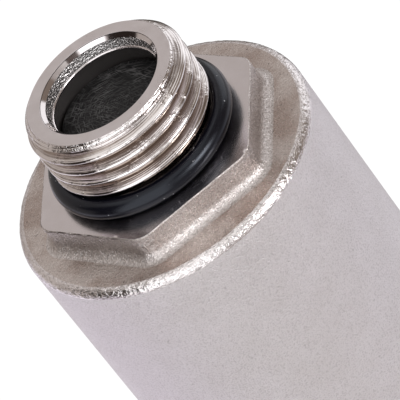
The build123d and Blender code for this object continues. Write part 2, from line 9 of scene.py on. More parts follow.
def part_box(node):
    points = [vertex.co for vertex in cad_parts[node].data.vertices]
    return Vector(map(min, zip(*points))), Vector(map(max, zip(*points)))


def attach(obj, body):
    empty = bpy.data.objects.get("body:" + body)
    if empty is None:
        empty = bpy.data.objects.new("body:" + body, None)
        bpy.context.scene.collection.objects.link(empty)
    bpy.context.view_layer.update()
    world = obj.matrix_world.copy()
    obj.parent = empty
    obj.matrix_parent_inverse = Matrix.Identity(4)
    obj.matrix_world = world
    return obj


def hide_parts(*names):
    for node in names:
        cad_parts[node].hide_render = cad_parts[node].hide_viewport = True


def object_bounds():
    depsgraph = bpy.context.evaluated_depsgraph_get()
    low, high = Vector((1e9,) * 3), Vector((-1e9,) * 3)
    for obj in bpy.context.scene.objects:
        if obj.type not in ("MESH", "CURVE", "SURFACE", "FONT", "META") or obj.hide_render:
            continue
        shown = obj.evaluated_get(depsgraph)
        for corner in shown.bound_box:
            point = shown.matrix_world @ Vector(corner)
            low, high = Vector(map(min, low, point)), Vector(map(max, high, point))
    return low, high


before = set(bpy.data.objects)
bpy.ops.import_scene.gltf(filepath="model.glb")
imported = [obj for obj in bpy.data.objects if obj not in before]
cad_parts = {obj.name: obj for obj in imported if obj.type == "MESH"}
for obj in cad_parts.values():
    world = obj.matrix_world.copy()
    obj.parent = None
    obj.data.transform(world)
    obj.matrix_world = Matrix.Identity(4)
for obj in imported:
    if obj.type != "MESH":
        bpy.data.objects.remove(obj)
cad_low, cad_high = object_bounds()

MM = 0.001
COLUMNS = 720
TURN = 2 * math.pi

# The Whitworth form: its full angle, and its depth and rounding for a pitch of one.
WHITWORTH_ANGLE = 55
WHITWORTH_DEPTH = 0.640327
WHITWORTH_ROUNDING = 0.137329

# The vent's own measures, in millimetres from the stub's end face.
THREAD_R = 10.4775
THREAD_PITCH = 1.814
THREAD_START = 0.35  # share of a turn by which the thread's start is turned
THREAD_END = 7.65
NECK_START = 8.25
NECK_R = 9.25
STUB_FACE_R = 9.23
MOUTH_R = 7.61
LIP_R = 6.95
LIP_TOP = 2.12
INLET_R = 7.9
BORE_DEPTH = 8.0
HEX_APOTHEM = 13.5
HEX_CORNER = 2.6
HEX_FACE = 10.79
SHOULDER = 14.26
SHOULDER_EDGE = 1.03
HEX_ROOT = 1.2
CHAMBER_R = 17.0
CHAMBER_FLOOR = 16.4
COVER_BORE_R = 17.5
COVER_BORE = 45.5
FLANGE_TOP = 55.0
DOME_FOOT_R = 17.4
DOME_TOP_R = 11.5
DOME_RISE = 2.2
DOME_SWELL = 1.4
TURRET_APOTHEM = 11.0
TURRET_TOP = 61.0
COVER_UNDER = 50.5
COVER_SKIRT_R = 14.8
COVER_GROOVE_R = 15.9
COVER_GROOVE = 50.2
COVER_PLUG_R = 17.45
COVER_PLUG = 46.5
CAVITY_R = 8.0
CAVITY_TOP = 57.5
JET_RECESS_R = 5.2
JET_RECESS = TURRET_TOP - 0.9
JET_APOTHEM = 6.5
JET_HEX_TOP = 64.0
SEAT_LIP_R = 1.7
SPOUT_R = 4.0
SPOUT_PITCH = 1.0
CHANNEL_R = 1.0
CAP_R = 7.0
CAP_BORE_R = 4.12
FLUTES = 20
FLUTE_R = 0.8
FLUTE_CENTRE = 7.45
DISH_R = 4.6
VENT_HOLE_R = 0.75
VENT_HOLE_HEIGHT = 3.4
RING_R = 1.30


def node_box(node):
    """Lowest and highest corner of a CAD node, in millimetres."""
    low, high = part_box(node)
    return low / MM, high / MM


BODY_R = node_box("vent_body")[1].x
BODY_TOP = node_box("vent_body")[1].z
SEAT = node_box("jet")[0].z
SPOUT_TOP = node_box("jet")[1].z
CAP_LOW = node_box("vent_cap")[0].z
CAP_TOP = node_box("vent_cap")[1].z
CAP_ROOF = node_box("cap_disc")[1].z

theta = np.arange(COLUMNS) * TURN / COLUMNS


# ------------------------------------------------------------------ mesh building
def full(value):
    """One value for every column."""
    return np.full(COLUMNS, float(value))


def noise_row(row, scale, seed):
    """Smooth noise, -1 to 1, at every column of a row, for a feature size in mm."""
    radius, height = row
    offset = Vector((seed * 17.3, seed * 5.1, seed * 9.7))
    x = radius * np.cos(theta) / scale
    y = radius * np.sin(theta) / scale
    z = height / scale
    return np.array([noise.noise(Vector(p) + offset) for p in zip(x, y, z)])


def rounded_hexagon(apothem, corner):
    """Radius at every column of a hexagon with rounded corners, one corner on +X."""
    from_flat = np.abs((theta % (TURN / 6)) - TURN / 12)
    corner_dist = (apothem - corner) / math.cos(TURN / 12)
    tangent = (apothem - corner) * math.tan(TURN / 12)
    flat_limit = math.atan2(tangent, apothem)
    beta = TURN / 12 - from_flat
    inside = np.maximum(corner**2 - (corner_dist * np.sin(beta)) ** 2, 0)
    on_corner = corner_dist * np.cos(beta) + np.sqrt(inside)
    return np.where(from_flat <= flat_limit, apothem / np.cos(from_flat), on_corner)


def blend_rows(low, high, count):
    """count rows from one (radius, height) row to another, both ends included."""
    rows = []
    for t in np.linspace(0, 1, count):
        rows.append((low[0] * (1 - t) + high[0] * t, low[1] * (1 - t) + high[1] * t))
    return rows


def lathe_rows(outline):
    """Rows that turn an outline of (radius, height) points."""
    return [(full(r), full(z)) for r, z in outline]


def arc_points(centre, radius, start, end, count):
    """Points of an arc in the (radius, height) plane, angles in degrees."""
    points = []
    for angle in np.radians(np.linspace(start, end, count)):
        points.append((centre[0] + radius * math.cos(angle), centre[1] + radius * math.sin(angle)))
    return points


def helix_rows(low, high, pitch, per_turn, radius_at):
    """Rows that climb with a right-hand helix, held between two heights."""
    first = -per_turn
    last = int(math.ceil((high - low) / pitch * per_turn)) + 1
    rows = []
    for j in range(first, last + 1):
        height = np.clip(low + (j / per_turn + theta / TURN) * pitch, low, high)
        phase = (height - low) / pitch - theta / TURN
        rows.append((radius_at(phase, height), height))
    return rows


def whitworth(phase, major, pitch):
    """Radius of a 55 degree thread, crest and root rounded: phase 0 is mid-crest."""
    rounding = WHITWORTH_ROUNDING * pitch
    depth = WHITWORTH_DEPTH * pitch
    flank = math.radians(90 - WHITWORTH_ANGLE / 2)
    off = np.abs((phase + 0.5) % 1 - 0.5) * pitch
    crest = rounding - np.sqrt(np.maximum(rounding**2 - off**2, 0))
    from_root = pitch / 2 - off
    root = depth - rounding + np.sqrt(np.maximum(rounding**2 - from_root**2, 0))
    slope = math.tan(flank)
    straight = depth / 2 + (off - pitch / 4) * slope
    reach = rounding * math.sin(flank)
    drop = np.where(off < reach, crest, np.where(from_root < reach, root, straight))
    return major - drop


class Shell:
    """Collects the points and faces of one piece, band by band, each with its material."""

    def __init__(self):
        self.points = []
        self.faces = []
        self.zones = []
        self.count = 0

    def band(self, rows, zone, seam_shift=0):
        """Faces between the rows. At a helix's seam each row meets the row seam_shift on."""
        first = self.count
        for radius, height in rows:
            points = np.stack([radius * np.cos(theta), radius * np.sin(theta), height], 1)
            self.points.append(points * MM)
        self.count += COLUMNS * len(rows)
        last = len(rows) - 1
        for j in range(last):
            for i in range(COLUMNS):
                k = (i + 1) % COLUMNS
                shift = seam_shift if k == 0 else 0
                a = first + j * COLUMNS + i
                b = first + min(j + shift, last) * COLUMNS + k
                c = first + min(j + 1 + shift, last) * COLUMNS + k
                d = first + (j + 1) * COLUMNS + i
                self.faces.append((a, b, c, d))
                self.zones.append(zone)

    def build(self, name, materials, sharp_angle=32):
        """The finished piece, its doubled points joined and its sharp edges kept."""
        mesh = bpy.data.meshes.new(name)
        mesh.from_pydata(np.concatenate(self.points).tolist(), [], self.faces)
        for material in materials:
            mesh.materials.append(material)
        mesh.polygons.foreach_set("material_index", self.zones)
        work = bmesh.new()
        work.from_mesh(mesh)
        bmesh.ops.remove_doubles(work, verts=work.verts, dist=2e-6)
        bmesh.ops.recalc_face_normals(work, faces=work.faces)
        work.to_mesh(mesh)
        work.free()
        mesh.shade_smooth()
        mesh.set_sharp_from_angle(angle=math.radians(sharp_angle))
        piece = bpy.data.objects.new(name, mesh)
        bpy.context.scene.collection.objects.link(piece)
        return piece


def stand_for(piece, node, body):
    """The piece is shown instead of a CAD node and moves with its body."""
    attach(piece, body)
    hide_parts(node)


# ------------------------------------------------------------------ the body
# The body's zones, then the cover's. Each is the place of its material in its mesh's list.
FORGED, HEX_WALL, HEX_LAND, THREAD, END_FACE, MOUTH, LIP, INSIDE, SHOULDER_FLAT, RIM, BORE = range(11)
COVER_FORGED, COVER_TURNED, COVER_INSIDE = range(3)


def stub_thread(phase, height):
    """Radius of the pipe thread with its start chamfer, run-out, wear and nicks."""
    radius = whitworth(phase + THREAD_START, THREAD_R, THREAD_PITCH)
    chamfer = STUB_FACE_R + height
    slope = (THREAD_R - NECK_R) / (NECK_START - THREAD_END)
    run_out = THREAD_R - (height - THREAD_END) * slope
    radius = np.minimum(np.minimum(radius, chamfer), run_out)
    wear = noise_row((radius, height), 1.7, 5)
    nick = noise_row((radius, height), 0.5, 6)
    chatter = noise_row((radius * 4, height * 9), 1.4, 8)
    crest = np.clip((radius - THREAD_R + 0.3) / 0.3, 0, 1)
    free = np.clip(height / 0.2, 0, 1) * np.clip((NECK_START - height) / 0.2, 0, 1)
    cut = 0.006 * wear + 0.006 * chatter - 0.12 * np.clip(nick - 0.38, 0, 1) * crest - 0.012
    return np.minimum(radius + cut * free, THREAD_R)


def unevenness(row, coarse, fine, seed):
    """How far a forging is off its true shape along a row, in mm."""
    return coarse * noise_row(row, 2.6, seed) + fine * noise_row(row, 0.5, seed + 1)


def hexagon_rows():
    """The forged wall of the spanner hexagon and its hollow foot, and the rim of its land."""
    bevel = 0.1
    rim = rounded_hexagon(HEX_APOTHEM - bevel, HEX_CORNER)
    rim = rim + 0.05 * (noise_row((rim, full(0)), 1.1, 21) - 0.5)
    outline = rounded_hexagon(HEX_APOTHEM, HEX_CORNER)
    foot = SHOULDER - HEX_ROOT
    rows = [(rim, full(HEX_FACE))]
    for t in np.linspace(0, 1, 14):
        row = (outline, full(HEX_FACE + bevel + (foot - HEX_FACE - bevel) * t))
        rows.append((outline + unevenness(row, 0.05, 0.05, 1) * min(1, t * 5), row[1]))
    for t in np.linspace(0, 1, 10)[1:]:
        turn = t * math.pi / 2
        out = HEX_ROOT * (1 - math.cos(turn))
        radius = rounded_hexagon(HEX_APOTHEM + out, HEX_CORNER + out)
        row = (radius, full(foot + HEX_ROOT * math.sin(turn)))
        off = unevenness(row, 0.05, 0.05, 1) * (1 - t**3)
        rows.append((row[0] + off * (1 - t), row[1] - off * t))
    return rim, rows


def build_body(materials):
    """Stub, hexagon, shoulder and chamber as one forging, outside first and then inside."""
    shell = Shell()
    per_turn = 32
    thread_rows = helix_rows(0, NECK_START, THREAD_PITCH, per_turn, stub_thread)
    shell.band(thread_rows, THREAD, seam_shift=per_turn)
    relief = 0.25
    land_inner = (full(NECK_R + relief), full(HEX_FACE))
    neck = lathe_rows([(NECK_R, NECK_START), (NECK_R, HEX_FACE - relief)])
    shell.band([*neck, land_inner], THREAD)
    rim, wall = hexagon_rows()
    shell.band(blend_rows(land_inner, (rim, full(HEX_FACE)), 14), HEX_LAND)
    shell.band(wall, HEX_WALL)
    flat_edge = (full(BODY_R - SHOULDER_EDGE), full(SHOULDER))
    flat = []
    for t, row in zip(np.linspace(0, 1, 16), blend_rows(wall[-1], flat_edge, 16)):
        swell = unevenness(row, 0.05, 0.015, 3) * math.sin(math.pi * t)
        flat.append((row[0], row[1] + swell))
    shell.band(flat, SHOULDER_FLAT)
    rounding = []
    for t in np.linspace(0, 1, 16):
        turn = t * math.pi / 2
        radius = full(BODY_R - SHOULDER_EDGE + SHOULDER_EDGE * math.sin(turn))
        height = full(SHOULDER + SHOULDER_EDGE * (1 - math.cos(turn)))
        off = -0.04 + unevenness((radius, height), 0.03, 0.05, 9)
        off *= math.sin(math.pi * t)
        rounding.append((radius + off * math.sin(turn), height - off * math.cos(turn)))
    shell.band(rounding, RIM)
    bevel = 0.5
    side_top = (full(BODY_R), full(BODY_TOP - bevel))
    shell.band(blend_rows(rounding[-1], side_top, 12), FORGED)
    inside = [
        (BODY_R, BODY_TOP - bevel),
        (BODY_R - bevel, BODY_TOP),
        (COVER_BORE_R, BODY_TOP),
        (COVER_BORE_R, COVER_BORE + bevel),
        (CHAMBER_R, COVER_BORE),
        (CHAMBER_R, CHAMBER_FLOOR + 0.6),
        (CHAMBER_R - 0.6, CHAMBER_FLOOR),
        (INLET_R + bevel, CHAMBER_FLOOR),
        (INLET_R, CHAMBER_FLOOR - bevel),
        (INLET_R, BORE_DEPTH),
    ]
    shell.band(lathe_rows(inside), INSIDE)
    bore = [inside[-1], (INLET_R, LIP_TOP + 0.35), (LIP_R + 0.2, LIP_TOP + 0.05)]
    shell.band(lathe_rows(bore), BORE)
    bead = arc_points((LIP_R + 0.05, LIP_TOP - 0.16), 0.18, 80, 262, 12)
    shell.band(lathe_rows([bore[-1], *bead]), MOUTH)
    step = 0.08
    lip_high = lathe_rows(bead)[-1]
    lip_low = (full(MOUTH_R - 0.46), full(step + 0.42))
    lip = []
    for t, row in zip(np.linspace(0, 1, 24), blend_rows(lip_high, lip_low, 24)):
        off = unevenness(row, 0.02, 0.0, 7) + 0.045 * noise_row(row, 0.22, 8)
        off += 0.03 * noise_row(row, 0.12, 12)
        lip.append((row[0] + off * min(1, 6 * t, 6 * (1 - t)), row[1]))
    shell.band(lip, LIP)
    chamfer = blend_rows(lip[-1], (full(MOUTH_R - 0.04), full(step)), 6)
    shell.band(chamfer, MOUTH)
    # A thin band at the mouth's edge, painted near black as a shadow line.
    shell.band([chamfer[-1], (full(MOUTH_R), full(step)), (full(MOUTH_R), full(0.02))], INSIDE)
    face = lathe_rows([(MOUTH_R, 0.02), (MOUTH_R + 0.03, 0)])
    shell.band([*face, *blend_rows(face[-1], (full(STUB_FACE_R), full(0)), 8)], END_FACE)
    return shell.build("body_shell", materials)


# ------------------------------------------------------------------ O-ring, cover, jet, cap
def build_ring(material):
    """The stub's rubber ring, a little uneven round its length."""
    shell = Shell()
    centre_r = NECK_R + RING_R
    centre_z = HEX_FACE - RING_R
    sway = noise_row((full(3.0), full(0.0)), 2.2, 11)
    rows = []
    for angle in np.linspace(0, TURN, 65):
        section = RING_R - 0.012 + 0.006 * sway
        radius = centre_r + section * math.cos(angle) + 0.02 * sway
        height = centre_z + section * math.sin(angle)
        rows.append((np.maximum(radius, NECK_R + 0.002), np.minimum(height, HEX_FACE)))
    shell.band(rows, 0)
    return shell.build("stub_ring", [material])


def dome_height(radius):
    """Height of the cover's dome at each radius."""
    t = np.clip((DOME_FOOT_R - radius) / (DOME_FOOT_R - DOME_TOP_R), 0, 1)
    return FLANGE_TOP + DOME_RISE * t + DOME_SWELL * t * (1 - t)


def build_cover(materials):
    """Flange, dome and hexagonal turret with turned-down corners."""
    shell = Shell()
    low_edge = 0.5
    top_edge = 0.8
    flange = [
        (COVER_GROOVE_R, BODY_TOP),
        (BODY_R - low_edge, BODY_TOP),
        *arc_points((BODY_R - low_edge, BODY_TOP + low_edge), low_edge, -90, 0, 6),
        (BODY_R, FLANGE_TOP - 1.2),
        *arc_points((BODY_R - top_edge, FLANGE_TOP - top_edge), top_edge, 0, 90, 8),
        (DOME_FOOT_R + 0.25, FLANGE_TOP),
        (DOME_FOOT_R, FLANGE_TOP),
    ]
    shell.band(lathe_rows(flange), COVER_FORGED)
    corner = 0.35
    foot_round = 0.4
    turret = rounded_hexagon(TURRET_APOTHEM, corner)
    foot_r = rounded_hexagon(TURRET_APOTHEM + foot_round, corner + foot_round)
    dome = []
    for t in np.linspace(0, 1, 18):
        radius = DOME_FOOT_R * (1 - t) + foot_r * t
        dome.append((radius, dome_height(radius)))
    shell.band(dome, COVER_FORGED)
    foot_height = dome_height(foot_r)
    foot = [(foot_r, foot_height)]
    for t in np.linspace(0, 1, 6)[1:]:
        turn = t * math.pi / 2
        radius = turret + foot_round * (1 - math.sin(turn))
        foot.append((radius, foot_height + foot_round * (1 - math.cos(turn))))
    crown = TURRET_TOP - 0.12
    corner_start = crown - (turret - TURRET_APOTHEM) * math.tan(TURN / 12)
    wall = blend_rows(foot[-1], (turret, corner_start), 8)
    crown_row = (full(TURRET_APOTHEM - 0.02), full(crown))
    shell.band([*foot, *wall[1:]], COVER_FORGED)
    shell.band(blend_rows(wall[-1], crown_row, 5), COVER_TURNED)
    top = [
        (TURRET_APOTHEM - 0.16, TURRET_TOP),
        (JET_RECESS_R + 0.2, TURRET_TOP),
        (JET_RECESS_R, TURRET_TOP - 0.1),
        (JET_RECESS_R, JET_RECESS),
        (SPOUT_R + 0.05, JET_RECESS),
    ]
    shell.band([crown_row, *lathe_rows(top)], COVER_TURNED)
    under = [
        (SPOUT_R + 0.05, JET_RECESS),
        (SPOUT_R + 0.05, CAVITY_TOP),
        (CAVITY_R, CAVITY_TOP),
        (CAVITY_R, COVER_UNDER),
        (COVER_SKIRT_R, COVER_UNDER),
        (COVER_SKIRT_R, COVER_PLUG),
        (COVER_PLUG_R - 0.6, COVER_PLUG),
        (COVER_PLUG_R, COVER_PLUG + 0.6),
        (COVER_PLUG_R, COVER_GROOVE),
        (COVER_GROOVE_R, COVER_GROOVE),
        (COVER_GROOVE_R, BODY_TOP),
    ]
    shell.band(lathe_rows(under), COVER_INSIDE)
    return shell.build("cover_shell", materials)


def build_jet(material):
    """Small hexagon and threaded spout, with the valve seat below."""
    shell = Shell()
    hexagon = rounded_hexagon(JET_APOTHEM, 0.25)
    drop = (hexagon - JET_APOTHEM) * math.tan(TURN / 12)
    low = [
        (CHANNEL_R, SEAT),
        (SEAT_LIP_R, SEAT),
        (SEAT_LIP_R + 0.6, SEAT + 0.8),
        (SPOUT_R - 0.6, SEAT + 0.8),
        (SPOUT_R, SEAT + 1.4),
        (SPOUT_R, TURRET_TOP),
    ]
    rows = lathe_rows(low)
    rows.append((hexagon - 0.15, full(TURRET_TOP)))
    rows.append((hexagon, full(TURRET_TOP + 0.15)))
    rows.extend(blend_rows((hexagon, full(TURRET_TOP + 0.2)), (hexagon, JET_HEX_TOP - 0.1 - drop), 5))
    rows.append((full(JET_APOTHEM - 0.02), full(JET_HEX_TOP - 0.1)))
    rows.append((full(JET_APOTHEM - 0.14), full(JET_HEX_TOP)))
    rows.append((full(SPOUT_R - 0.4), full(JET_HEX_TOP)))
    shell.band(rows, 0)
    spout_low = JET_HEX_TOP + 0.4

    def spout_thread(phase, height):
        radius = whitworth(phase, SPOUT_R, SPOUT_PITCH)
        lead_in = SPOUT_R - 0.45 + (height - spout_low)
        lead_out = SPOUT_R - 0.6 + (SPOUT_TOP - height)
        return np.minimum(np.minimum(radius, lead_in), lead_out)

    per_turn = 14
    shell.band(lathe_rows([(SPOUT_R - 0.4, JET_HEX_TOP), (SPOUT_R - 0.45, spout_low)]), 0)
    thread = helix_rows(spout_low, SPOUT_TOP, SPOUT_PITCH, per_turn, spout_thread)
    shell.band(thread, 0, seam_shift=per_turn)
    top = [(SPOUT_R - 0.6, SPOUT_TOP), (CHANNEL_R + 0.25, SPOUT_TOP), (CHANNEL_R, SPOUT_TOP - 0.25)]
    shell.band(lathe_rows([*top, (CHANNEL_R, SEAT)]), 0)
    return shell.build("jet_shell", [material])


def build_cap(material):
    """Fluted cap with a rounded top, a moulded dish in its crown and a vent hole."""
    shell = Shell()
    from_flute = np.abs((theta + TURN / FLUTES / 2) % (TURN / FLUTES) - TURN / FLUTES / 2)
    reach = FLUTE_R**2 - (FLUTE_CENTRE * np.sin(from_flute)) ** 2
    hollow = FLUTE_CENTRE * np.cos(from_flute) - np.sqrt(np.maximum(reach, 0))
    fluted = np.where(reach > 0, np.minimum(hollow, CAP_R), CAP_R)
    flute_start = CAP_LOW + 1.4
    flute_run_in = 0.25
    bevel = 0.4
    crown = 1.2
    foot = [
        (CAP_BORE_R, CAP_LOW),
        (CAP_R - bevel, CAP_LOW),
        (CAP_R, CAP_LOW + bevel),
        (CAP_R, flute_start - 0.05),
    ]
    shell.band(lathe_rows(foot), 0)
    side = [(full(CAP_R), full(flute_start - 0.05))]
    for rise in (0.0, 0.12, flute_run_in, 1.5, 3.0, 4.5):
        depth = min(1, rise / flute_run_in)
        side.append((CAP_R * (1 - depth) + fluted * depth, full(flute_start + rise)))
    for radius, height in arc_points((CAP_R - crown, CAP_TOP - crown), crown, 0, 90, 14):
        side.append((np.minimum(radius, fluted), full(height)))
    shell.band(side, 0)
    dish = [
        (DISH_R + 0.3, CAP_TOP),
        (DISH_R + 0.15, CAP_TOP - 0.05),
        (DISH_R, CAP_TOP - 0.2),
        (1.1, CAP_TOP - 0.2),
        (0.9, CAP_TOP - 0.35),
        (0.001, CAP_TOP - 0.35),
    ]
    shell.band([side[-1], *lathe_rows(dish)], 0)
    bore = [(0.001, CAP_ROOF), (CAP_BORE_R, CAP_ROOF), (CAP_BORE_R, CAP_LOW)]
    shell.band(lathe_rows(bore), 0)
    cap = shell.build("cap_shell", [material])
    work = bmesh.new()
    through_side = Vector((-6, 0, CAP_LOW + VENT_HOLE_HEIGHT)) * MM
    bmesh.ops.create_cone(
        work, cap_ends=True, segments=32, depth=4 * MM, radius1=VENT_HOLE_R * MM, radius2=VENT_HOLE_R * MM,
        matrix=Matrix.Translation(through_side) @ Matrix.Rotation(math.pi / 2, 4, "Y"),
    )
    drill_mesh = bpy.data.meshes.new("drill")
    work.to_mesh(drill_mesh)
    work.free()
    drill = bpy.data.objects.new("drill", drill_mesh)
    bpy.context.scene.collection.objects.link(drill)
    cut = cap.modifiers.new("vent_hole", "BOOLEAN")
    cut.object = drill
    cut.solver = "EXACT"
    drilled = cap.evaluated_get(bpy.context.evaluated_depsgraph_get())
    cap.data = bpy.data.meshes.new_from_object(drilled)
    cap.modifiers.clear()
    bpy.data.objects.remove(drill)
    return cap


# ------------------------------------------------------------------ shader building
class Nodes:
    """A node tree, with short calls for the nodes that this script uses."""

    def __init__(self, tree):
        self.tree = tree
        self.tree.nodes.clear()

    def node(self, kind, **settings):
        made = self.tree.nodes.new(kind)
        for key, value in settings.items():
            setattr(made, key, value)
        return made

    def link(self, source, target):
        self.tree.links.new(source, target)

    def feed(self, value, target):
        """Sets a socket to a number or a colour, or joins it to another socket."""
        if isinstance(value, tuple) and target.type == "RGBA":
            target.default_value = (*value, 1)
        elif isinstance(value, (int, float, tuple)):
            target.default_value = value
        else:
            self.link(value, target)

    def calc(self, operation, a, b=0.0):
        made = self.node("ShaderNodeMath", operation=operation)
        self.feed(a, made.inputs[0])
        self.feed(b, made.inputs[1])
        return made.outputs[0]

    def times(self, a, b):
        return self.calc("MULTIPLY", a, b)

    def plus(self, a, b):
        return self.calc("ADD", a, b)

    def minus(self, a, b):
        return self.calc("SUBTRACT", a, b)

    def greatest(self, first, *others):
        for other in others:
            first = self.calc("MAXIMUM", first, other)
        return first

    def split(self, vector):
        made = self.node("ShaderNodeSeparateXYZ")
        self.link(vector, made.inputs[0])
        return made.outputs

    def combine(self, x, y, z):
        made = self.node("ShaderNodeCombineXYZ")
        for value, target in zip((x, y, z), made.inputs):
            self.feed(value, target)
        return made.outputs[0]

    def remap(self, value, low, high, to_low=0.0, to_high=1.0, smooth=False):
        kind = "SMOOTHSTEP" if smooth else "LINEAR"
        made = self.node("ShaderNodeMapRange", clamp=True, interpolation_type=kind)
        for number, target in zip((value, low, high, to_low, to_high), made.inputs):
            self.feed(number, target)
        return made.outputs["Result"]

    def noise_at(self, place, size_mm, detail=2.0, roughness=0.5):
        """Noise over a place in metres with features of about size_mm, 0 to 1."""
        made = self.node("ShaderNodeTexNoise")
        self.link(place, made.inputs["Vector"])
        made.inputs["Scale"].default_value = 1 / (size_mm * MM)
        made.inputs["Detail"].default_value = detail
        made.inputs["Roughness"].default_value = roughness
        return made.outputs["Fac"]

    def blend(self, factor, low, high):
        made = self.node("ShaderNodeMix", data_type="RGBA")
        for value, target in ((factor, 0), (low, 6), (high, 7)):
            self.feed(value, made.inputs[target])
        return made.outputs[2]


class Shade(Nodes):
    """A material whose textures lie in the vent's own frame."""

    def __init__(self, name):
        self.material = bpy.data.materials.new(name)
        self.material.use_nodes = True
        super().__init__(self.material.node_tree)
        self.surface = self.node("ShaderNodeBsdfPrincipled")
        output = self.node("ShaderNodeOutputMaterial")
        self.link(self.surface.outputs[0], output.inputs["Surface"])
        self.place = self.node("ShaderNodeTexCoord").outputs["Object"]
        self.relief = None

    def set(self, name, value):
        self.feed(value, self.surface.inputs[name])

    def stretch(self, vector, factors):
        made = self.node("ShaderNodeVectorMath", operation="MULTIPLY")
        self.feed(vector, made.inputs[0])
        self.feed(factors, made.inputs[1])
        return made.outputs[0]

    def noise(self, size_mm, detail=2.0, roughness=0.5, place=None):
        """Noise over the vent, or over a place made from it by stretching or bending."""
        return self.noise_at(self.place if place is None else place, size_mm, detail, roughness)

    def bump(self, height, depth_mm):
        """Adds relief of the given depth on top of the relief before it."""
        made = self.node("ShaderNodeBump")
        made.inputs["Strength"].default_value = 1.0
        made.inputs["Distance"].default_value = depth_mm * MM
        self.feed(height, made.inputs["Height"])
        if self.relief is not None:
            self.link(self.relief, made.inputs["Normal"])
        self.relief = made.outputs["Normal"]
        self.link(self.relief, self.surface.inputs["Normal"])

    def polar(self):
        """Distance from the vent's axis in metres, angle in turns, and the place's x, y, z."""
        x, y, z = self.split(self.place)
        squares = self.plus(self.times(x, x), self.times(y, y))
        angle = self.calc("DIVIDE", self.calc("ARCTAN2", y, x), TURN)
        return self.calc("SQRT", squares), angle, x, y, z


NICKEL_MID = (0.655, 0.61, 0.60)
NICKEL_LIGHT = (0.75, 0.705, 0.71)
GRAIN_DARK = (0.12, 0.10, 0.09)
# The colour of the glints painted on blasted facets.
PAINTED_GLINT_TONE = (0.96, 0.93, 0.91)
PIT = (0.16, 0.135, 0.125)
THREAD_LOW = (0.70, 0.655, 0.64)
THREAD_HIGH = (0.88, 0.84, 0.83)
THREAD_SCORE = (0.24, 0.205, 0.19)
# Painted shade for the thread's roots.
THREAD_ROOT_SHADE = (0.36, 0.295, 0.255)


def blasted_nickel(
    name, grain_mm, depth_mm, roughness, low, high, contrast=0.0, pitted=0.0, dark_line_mm=None, drawn=1.0
):
    """Plated forging: a blasted grain with glints painted on its facets, dull patches, stray pits.

    A broken dark line runs along one side at the height given in millimetres. A grain
    drawn by more than 1 is that many times longer round the vent's axis than across.
    """
    shade = Shade(name)
    broad = shade.noise(5.0, 3, 0.55)
    radius, angle, x, y, z = shade.polar()
    place = shade.place
    if drawn > 1:
        place = shade.combine(radius, shade.times(angle, TURN * BODY_R * MM / drawn), z)
    grain = shade.noise(grain_mm, 2, 0.6, place)
    fine = shade.noise(grain_mm * 0.45, 1, 0.5, place)
    tone = shade.blend(shade.remap(broad, 0.35, 0.65, smooth=True), low, high)
    dark_grain = shade.times(shade.remap(grain, 0.50, 0.36), contrast)
    tone = shade.blend(dark_grain, tone, GRAIN_DARK)
    # Painted glints: bright flecks in the base colour where facets would catch light.
    painted_glint = shade.times(shade.remap(fine, 0.52, 0.66), contrast)
    tone = shade.blend(painted_glint, tone, PAINTED_GLINT_TONE)
    pits = shade.times(shade.remap(shade.noise(0.45, 1, 0.5), 0.72, 0.78), pitted)
    if dark_line_mm is not None:
        # A broken dark line along one side of the wall, at the given height.
        wander = shade.remap(shade.noise(1.1, 2, 0.5), 0.3, 0.7, -0.12 * MM, 0.12 * MM)
        off_line = shade.calc("ABSOLUTE", shade.minus(shade.plus(z, wander), dark_line_mm * MM))
        dark_line = shade.remap(off_line, 0.13 * MM, 0.05 * MM)
        dark_line = shade.times(dark_line, shade.remap(shade.noise(1.6, 2, 0.6), 0.38, 0.50))
        dark_line = shade.times(dark_line, shade.remap(x, -8.5 * MM, -10 * MM))
        pits = shade.greatest(pits, dark_line)
    shade.set("Base Color", shade.blend(pits, tone, PIT))
    shade.set("Metallic", 1.0)
    shade.set("Roughness", shade.remap(grain, 0.35, 0.65, roughness + 0.06, roughness - 0.1))
    shade.bump(grain, depth_mm)
    shade.bump(fine, depth_mm * 0.5)
    shade.bump(pits, -0.03)
    return shade.material


def turned_nickel(name, line_mm, depth_mm, roughness, low=NICKEL_MID, high=NICKEL_LIGHT):
    """Plated brass off the lathe: rings about the axis under a thin satin."""
    shade = Shade(name)
    radius, angle, x, y, z = shade.polar()
    across = shade.plus(radius, shade.times(z, 0.73))
    rings = shade.combine(across, shade.times(angle, 1.2 * MM), 0.0)
    lines = shade.noise(line_mm, 3, 0.7, rings)
    cloud = shade.noise(2.2, 3, 0.5)
    shade.set("Base Color", shade.blend(cloud, low, high))
    shade.set("Metallic", 1.0)
    shade.set("Roughness", shade.remap(cloud, 0.3, 0.7, roughness * 0.8, roughness * 1.25))
    shade.bump(lines, depth_mm)
    shade.bump(shade.noise(0.25, 2), depth_mm * 0.5)
    return shade.material


